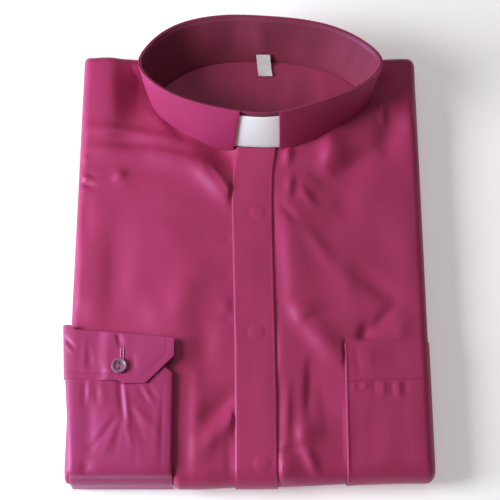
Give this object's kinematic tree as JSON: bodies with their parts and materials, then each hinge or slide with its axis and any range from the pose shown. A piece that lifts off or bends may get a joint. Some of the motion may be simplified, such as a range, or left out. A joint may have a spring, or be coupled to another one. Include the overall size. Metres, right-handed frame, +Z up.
{
  "type": "clergy shirt",
  "caption": "Long-sleeved clergy shirt folded flat, with a standing collar band, white tab insert, fly placket, chest pocket and one buttoned cuff laid on the front.",
  "frame": {"origin": "middle of the folded shirt's underside, on the surface that it lies on", "axes": "+X to the side of the chest pocket, +Y from the lower fold to the collar, +Z up"},
  "size_m": [0.2518, 0.3496, 0.0618],
  "materials": {
    "shirt_cloth": "woven, soft sheen",
    "shirt_cloth_inside": "woven, soft sheen",
    "tab_plastic": "satin",
    "label_ribbon": "woven ribbon",
    "button_plastic": "polished"
  },
  "bodies": {
    "root": {"back_yoke": "shirt_cloth_inside", "chest_pocket": "shirt_cloth", "collar_band": "shirt_cloth", "collar_tab": "tab_plastic", "cuff": "shirt_cloth", "cuff_button": "button_plastic", "fly_placket": "shirt_cloth", "folded_layers": "shirt_cloth_inside", "front_left": "shirt_cloth", "front_right": "shirt_cloth", "neckband": "shirt_cloth_inside", "size_label": "label_ribbon", "sleeve": "shirt_cloth"}
  },
  "joints": []
}
